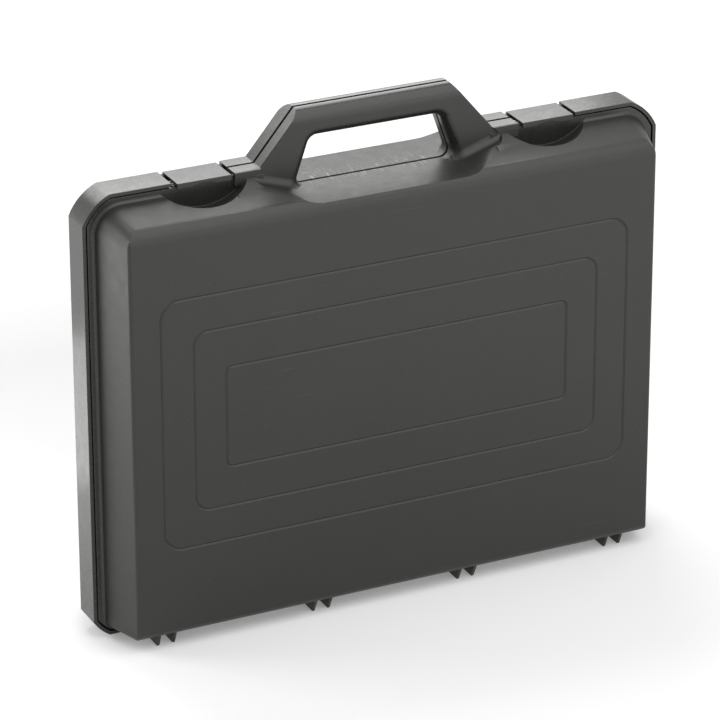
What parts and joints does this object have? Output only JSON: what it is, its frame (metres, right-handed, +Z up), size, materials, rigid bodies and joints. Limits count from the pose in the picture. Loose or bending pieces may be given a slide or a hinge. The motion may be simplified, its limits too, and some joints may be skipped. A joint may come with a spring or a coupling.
{
  "type": "hard tool case",
  "caption": "Moulded hard carrying case: a hinged lid with a bulged grooved panel, snap latches beside a split carrying handle, and ribbed feet along the hinge side.",
  "frame": {"origin": "on the floor, under the middle of the closed case standing on its hinge side", "axes": "+X to the right across the front, +Y from the lid towards the back shell, +Z up towards the handle"},
  "size_m": [0.43, 0.0838, 0.3596],
  "materials": {
    "shell": "fine moulded grain",
    "latch": "smooth moulded, satin",
    "pin": "drawn wire"
  },
  "bodies": {
    "base": {"back_shell": "shell", "left_latch_pin": "pin", "right_latch_pin": "pin", "hinge_pin_1": "pin", "hinge_pin_2": "pin", "hinge_pin_3": "pin", "hinge_pin_4": "pin"},
    "lid": {"front_shell": "shell"},
    "left_latch": {"left_latch": "latch"},
    "right_latch": {"right_latch": "latch"}
  },
  "joints": [
    {"name": "lid_hinge", "type": "hinge", "parent": "base", "child": "lid", "pos_m": [0, -0.01355, 0.0044], "axis": [1, 0, 0], "range_deg": [0, 95]},
    {"name": "left_latch_hinge", "type": "hinge", "parent": "base", "child": "left_latch", "pos_m": [-0.1284, 0.01255, 0.3213], "axis": [-1, 0, 0], "range_deg": [0, 110]},
    {"name": "right_latch_hinge", "type": "hinge", "parent": "base", "child": "right_latch", "pos_m": [0.1284, 0.01255, 0.3213], "axis": [-1, 0, 0], "range_deg": [0, 110]}
  ]
}
